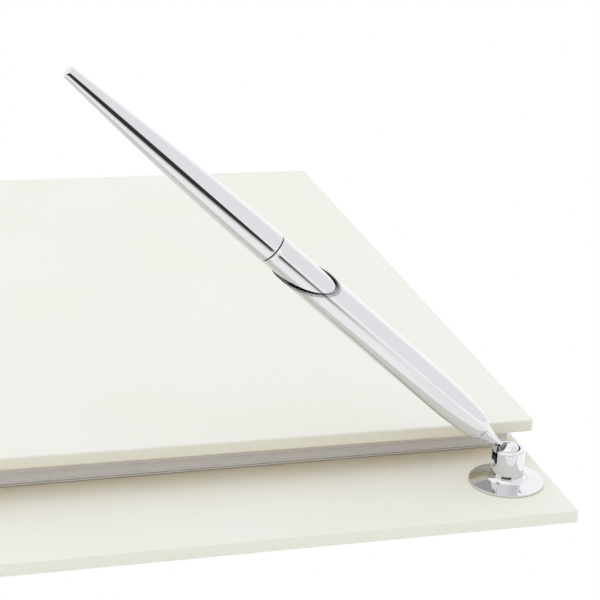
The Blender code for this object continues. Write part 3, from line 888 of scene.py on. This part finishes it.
# ---- pen --------------------------------------------------------------------
def nose_cone():
    """Slim cone with a small step, and a spigot into the barrel, bored for the refill."""
    start, _, _ = stations("pen_nose_cone")
    barrel_start, _, _ = stations("pen_lower_barrel")
    end = barrel_start - GAP
    slim = eased([
        (0.60 * MM, start + 0.08 * MM), (0.72 * MM, 3.2 * MM), (1.1 * MM, 5.1 * MM),
        (1.62 * MM, 7.7 * MM), (2.05 * MM, 9.2 * MM), (2.40 * MM, end + 0.12 * MM),
    ], 10)
    outline = [(NOSE_BORE, start), (0.54 * MM, start)] + slim
    outline += [(2.36 * MM, end + 0.18 * MM), (SPIGOT, end + 0.18 * MM)]
    outline += [(SPIGOT, SPIGOT_END), (SPIGOT_BORE, SPIGOT_END)]
    outline += [(SPIGOT_BORE, NOSE_SEAT + 0.7 * MM), (NOSE_BORE, NOSE_SEAT)]
    verts, faces = turned(outline)
    finish_piece(piece("nose_cone", verts, faces, CHROME, 35, PEN), "pen", "chrome", "pen_nose_cone")


def barrel_radius(s, start, full_radius):
    """Outer radius at a station of the blunt front, which reaches full size smoothly."""
    share = (BARREL_FULL - s) / (BARREL_FULL - start)
    return BARREL_FRONT + (full_radius - BARREL_FRONT) * math.sqrt(max(0.0, 1 - share ** 2.1)) ** 0.9


def oblique_plane():
    """The barrel's slanted end, as station = middle + x * a + y * b, from the CAD rim."""
    rim = [p for p in local_points("pen_lower_barrel", PEN) if p.z > OBLIQUE_FROM]
    system = np.array([(1, p.x, p.y) for p in rim])
    return np.linalg.lstsq(system, np.array([p.z for p in rim]), rcond=None)[0]


def lower_barrel():
    """Blunt ogive front, a plain tube, and an upper end cut off on a slant."""
    start, _, radius = stations("pen_lower_barrel")
    middle, a, b = oblique_plane()
    outline = []
    steps = 48
    for i in range(steps + 1):
        s = start + 0.05 * MM + (BARREL_FULL - start - 0.05 * MM) * (1 - math.cos(math.pi / 2 * i / steps))
        outline.append((barrel_radius(s, start, radius), s))
    outline.insert(0, (outline[0][0] - 0.08 * MM, start))
    outline += [(radius, s) for s in BARREL_STATIONS]
    outline += [(radius, middle - RIM), (radius - RIM, middle)]
    outline += [(BARREL_BORE + RIM, middle), (BARREL_BORE, middle - RIM)]
    outline += [(BARREL_BORE, s) for s in reversed(BARREL_STATIONS)]
    outline += [(BARREL_BORE, 34 * MM), (3.4 * MM, 24 * MM), (2.6 * MM, 18 * MM)]
    outline += [(SPIGOT + GAP, SPIGOT_END + GAP), (SPIGOT + GAP, start)]
    verts, faces = turned(outline)
    slanted = []
    for x, y, s in verts:
        share = (s - OBLIQUE_FROM) / (middle - OBLIQUE_FROM)
        slanted.append((x, y, s + max(share, 0) * (a * x + b * y)))
    barrel = piece("lower_barrel", slanted, faces, CHROME, 50, PEN)
    finish_piece(barrel, "pen", "chrome", "pen_lower_barrel")


def collar():
    """Sleeve inside the barrel, with a small flared lip under the tail."""
    start, end, lip = stations("pen_collar")
    outline = [(COLLAR_RADIUS, start)]
    for i in range(13):
        t = i / 12
        flare = COLLAR_RADIUS + (lip - COLLAR_RADIUS) * t ** 2.2
        outline.append((flare, end - COLLAR_FLARE + 0.9 * COLLAR_FLARE * t))
    outline += arc((lip - SMALL_ROUND, end - SMALL_ROUND), SMALL_ROUND, 0, 90, 4)
    outline += [(COLLAR_BORE, end), (COLLAR_BORE, start)]
    verts, faces = turned(outline)
    finish_piece(piece("collar_sleeve", verts, faces, CHROME, 40, PEN), "pen", "chrome", "pen_collar")


def tail():
    """Long taper with a rounded tip, open at the collar end."""
    start, end, radius = stations("pen_tail")
    end -= TAIL_SHORTER
    shoulder = end - TAIL_TIP

    def swell(s):
        share = (end - s) / (end - start)
        return TAIL_TIP_RADIUS + (radius - TAIL_TIP_RADIUS) * (1 - (1 - share) ** TAIL_POWER)

    outline = []
    for angle in range(0, 90, 9):
        turn = math.radians(angle)
        outline.append((swell(shoulder) * math.sin(turn) ** 0.9, shoulder + TAIL_TIP * math.cos(turn)))
    outline += [(swell(s), s) for s in even(shoulder, start + SMALL_ROUND, 70)]
    outline += arc((radius - SMALL_ROUND, start + SMALL_ROUND), SMALL_ROUND, 0, -90, 4)
    outline.append((radius - TAIL_WALL, start))
    outline += [(swell(s) - TAIL_WALL, s) for s in even(start, CAVITY_END, 12)[1:]]
    outline.append((0, CAVITY_END + 2 * MM))
    verts, faces = turned(outline)
    finish_piece(piece("tail_taper", verts, faces, CHROME, 40, PEN), "pen", "chrome", "pen_tail")


# ---- studio -----------------------------------------------------------------
MIRROR_WHITE = 1.24         # brightness of the white surroundings in mirror-like surfaces
FLOOR_LIGHT = (1.00, 1.10, 1.26)
ZENITH_LIGHT = (1.19, 1.335, 1.68)
HORIZON_LIGHT = (0.63, 0.64, 0.69)
SHADED_LIGHT = (0.11, 0.085, 0.06)
SHADE = 0.6                 # how much of the low front is shaded
MIRROR_SIDE = (1.05, 1.05, 1.08)
MIRROR_LOW = (0.080, 0.060, 0.055)
CLUTTER = (0.048, 0.040, 0.038)
OVERHEAD_GREY = (0.42, 0.42, 0.43)

FLOOR_SIZE = 6.0
CLUTTER_NEAR = 21.5 * MM    # in front of the ball
CLUTTER_FAR = 5.9
CLUTTER_LEFT = 2.5
CLUTTER_RIGHT = 1.3
CLUTTER_SLOPE = 0.185       # how far its right side drifts to +X, per metre away
OVERHEAD_TOWARDS = Vector((0.23, 0.755, 0.615)).normalized()
OVERHEAD_AWAY = 0.6
OVERHEAD_HALF = (0.105, 0.08)

CAMERA_FROM_STAND = Vector((-0.18912, -0.42771, 0.22732))
CAMERA_TURN = 16.827        # degrees, from +Y towards +X
CAMERA_DIP = 21.042         # degrees below level
CAMERA_ROLL = 2.8065        # degrees, anticlockwise behind the camera
CAMERA_LENS = 115.9


class Glow:
    """An emission material whose colour is put together one step at a time."""

    def __init__(self, tree, shader, output):
        self.nodes = tree.nodes
        self.links = tree.links
        self.nodes.clear()
        self.light = self.nodes.new(shader)
        out = self.nodes.new(output)
        self.links.new(self.light.outputs[0], out.inputs["Surface"])
        place = self.nodes.new("ShaderNodeTexCoord")
        split = self.nodes.new("ShaderNodeSeparateXYZ")
        where = "Object" if shader == "ShaderNodeEmission" else "Generated"
        self.links.new(place.outputs[where], split.inputs[0])
        self.axes = split.outputs

    def value(self, number):
        made = self.nodes.new("ShaderNodeValue")
        made.outputs[0].default_value = number
        return made.outputs[0]

    def plane(self, x, y, z, offset):
        """x, y and z times the coordinates, plus an offset."""
        total = self.value(offset)
        for weight, axis in zip((x, y, z), self.axes):
            step = self.nodes.new("ShaderNodeMath")
            step.operation = "MULTIPLY_ADD"
            self.links.new(axis, step.inputs[0])
            step.inputs[1].default_value = weight
            self.links.new(total, step.inputs[2])
            total = step.outputs[0]
        return total

    def span(self, factor, start, end):
        """0 to 1 as the factor goes from start to end, with soft ends."""
        made = self.nodes.new("ShaderNodeMapRange")
        made.interpolation_type = "SMOOTHSTEP"
        made.inputs["From Min"].default_value = start
        made.inputs["From Max"].default_value = end
        self.links.new(factor, made.inputs["Value"])
        return made.outputs["Result"]

    def times(self, a, b):
        made = self.nodes.new("ShaderNodeMath")
        made.operation = "MULTIPLY"
        self.links.new(a, made.inputs[0])
        self.links.new(b, made.inputs[1])
        return made.outputs[0]

    def mix(self, factor, first, second):
        made = self.nodes.new("ShaderNodeMix")
        made.data_type = "RGBA"
        self.links.new(factor, made.inputs[0])
        for socket, colour in ((made.inputs[6], first), (made.inputs[7], second)):
            if isinstance(colour, tuple):
                socket.default_value = (*colour, 1)
            else:
                self.links.new(colour, socket)
        return made.outputs[2]

    def ray(self, kind):
        return self.nodes.new("ShaderNodeLightPath").outputs[kind]

    def colour(self, source):
        if isinstance(source, tuple):
            self.light.inputs["Color"].default_value = (*source, 1)
        else:
            self.links.new(source, self.light.inputs["Color"])


def glow(name):
    """An emission material, and the Glow that puts it together."""
    material = bpy.data.materials.new(name)
    material.use_nodes = True
    return material, Glow(material.node_tree, "ShaderNodeEmission", "ShaderNodeOutputMaterial")


def grey(value):
    return (value, value, value)


def card(name, corners, material):
    """A studio card that only mirror-like surfaces see."""
    obj = piece(name, corners, [tuple(range(len(corners)))], material)
    obj.visible_camera = False
    obj.visible_diffuse = False
    obj.visible_transmission = False
    obj.visible_shadow = False


def floor():
    """A pale floor, which is brighter where a mirror-like surface reflects it."""
    material, made = glow("white_floor")
    light = made.mix(made.ray("Is Glossy Ray"), FLOOR_LIGHT, grey(MIRROR_WHITE))
    made.colour(made.mix(made.ray("Is Camera Ray"), light, grey(1.0)))
    corners = [(x * FLOOR_SIZE, y * FLOOR_SIZE, 0) for x, y in ((-1, -1), (1, -1), (1, 1), (-1, 1))]
    obj = piece("studio_floor", corners, [(0, 1, 2, 3)], material)


def dark_floor_card(stand):
    """Dark clutter on the floor in front, left of a line that runs away from the stand.
    It fades in from the book outwards."""
    material, made = glow("dark_floor_card")
    nearness = made.span(made.plane(0, -1, 0, stand.y), 0.085, 0.235)
    line = stand.x - 0.035 + CLUTTER_SLOPE * stand.y
    side = made.span(made.plane(-1, -CLUTTER_SLOPE, 0, line), -0.03, 0.03)
    before = made.span(made.plane(1, 0, 0, -stand.x), -0.045, -0.015)
    pale = made.mix(before, grey(MIRROR_WHITE * 0.94), grey(MIRROR_WHITE * 0.88))
    made.colour(made.mix(made.times(nearness, side), pale, CLUTTER))
    z = 1 * MM
    near = stand.y - CLUTTER_NEAR
    far = stand.y - CLUTTER_FAR
    left = stand.x - CLUTTER_LEFT
    right = stand.x + CLUTTER_RIGHT
    corners = [(left, far, z), (right, far, z), (stand.x + 0.06, near, z), (left, near, z)]
    card("dark_floor_card", corners, material)


def overhead_card(stand):
    """A grey card behind and above, which the brim's front reflects."""
    material, made = glow("grey_overhead_card")
    made.colour(OVERHEAD_GREY)
    centre = stand + OVERHEAD_TOWARDS * OVERHEAD_AWAY
    rise = OVERHEAD_TOWARDS.cross(Vector((1, 0, 0))).normalized()
    across = rise.cross(OVERHEAD_TOWARDS)
    wide, tall = OVERHEAD_HALF
    signs = ((-1, -1), (1, -1), (1, 1), (-1, 1))
    corners = [centre + across * wide * x + rise * tall * y for x, y in signs]
    card("grey_overhead_card", corners, material)


def world():
    """White to the camera. Matte surfaces get cool light from above, dimmer at the
    horizon and dimmest low in front. Mirror-like ones see a white room, a little
    greyer at the front right and dark low in front."""
    made_world = bpy.data.worlds.new("studio")
    bpy.context.scene.world = made_world
    made_world.use_nodes = True
    made = Glow(made_world.node_tree, "ShaderNodeBackground", "ShaderNodeOutputWorld")
    height = made.plane(0, 0, 1, 0)
    light = made.mix(height, HORIZON_LIGHT, ZENITH_LIGHT)
    shaded = made.times(made.span(made.plane(0, -1, 0, 0), 0.0, 0.9), made.span(height, 0.65, 0.1))
    light = made.mix(made.times(shaded, made.value(SHADE)), light, SHADED_LIGHT)
    right_front = made.span(made.plane(0.80, -0.55, 0.2, 0), 0.35, 0.75)
    mirror = made.mix(right_front, grey(MIRROR_WHITE), MIRROR_SIDE)
    front = made.span(made.plane(-0.407, -0.914, 0, 0), 0.78, 0.85)
    low = made.times(made.span(height, 0.20, 0.10), front)
    mirror = made.mix(low, mirror, MIRROR_LOW)
    seen = made.mix(made.ray("Is Glossy Ray"), light, mirror)
    made.colour(made.mix(made.ray("Is Camera Ray"), seen, grey(1.0)))


def camera(stand):
    """Low in front of the ledge, looking back over it with the pen across the view."""
    data = bpy.data.cameras.new("camera")
    data.lens = CAMERA_LENS
    data.sensor_width = 36
    data.clip_start = 0.01
    obj = bpy.data.objects.new("camera", data)
    bpy.context.scene.collection.objects.link(obj)
    turn = Matrix.Rotation(math.radians(-CAMERA_TURN), 4, "Z")
    dip = Matrix.Rotation(math.radians(90 - CAMERA_DIP), 4, "X")
    roll = Matrix.Rotation(math.radians(CAMERA_ROLL), 4, "Z")
    obj.matrix_world = Matrix.Translation(stand + CAMERA_FROM_STAND) @ turn @ dip @ roll
    bpy.context.scene.camera = obj


def studio():
    stand = Vector((BALL.x, BALL.y, LEDGE_TOP))
    floor()
    world()
    dark_floor_card(stand)
    overhead_card(stand)
    camera(stand)
    bpy.context.scene.view_settings.view_transform = "Standard"


# ---- build ------------------------------------------------------------------
dress_kept_nodes()
cover("back", "book", FLAT, True)
cover("front", "front_cover", COVER, False)
spine_covering()
signatures()
bound_leaf("flyleaf_sheet", "front_flyleaf", ENDPAPER)
bound_leaf("leaf_1_sheet", "leaf_1", PAPER)
bound_leaf("leaf_2_sheet", "leaf_2", PAPER)
back_flyleaf()
end_bands()
stand_base()
swivel_ball()
nose_cone()
lower_barrel()
collar()
tail()
studio()
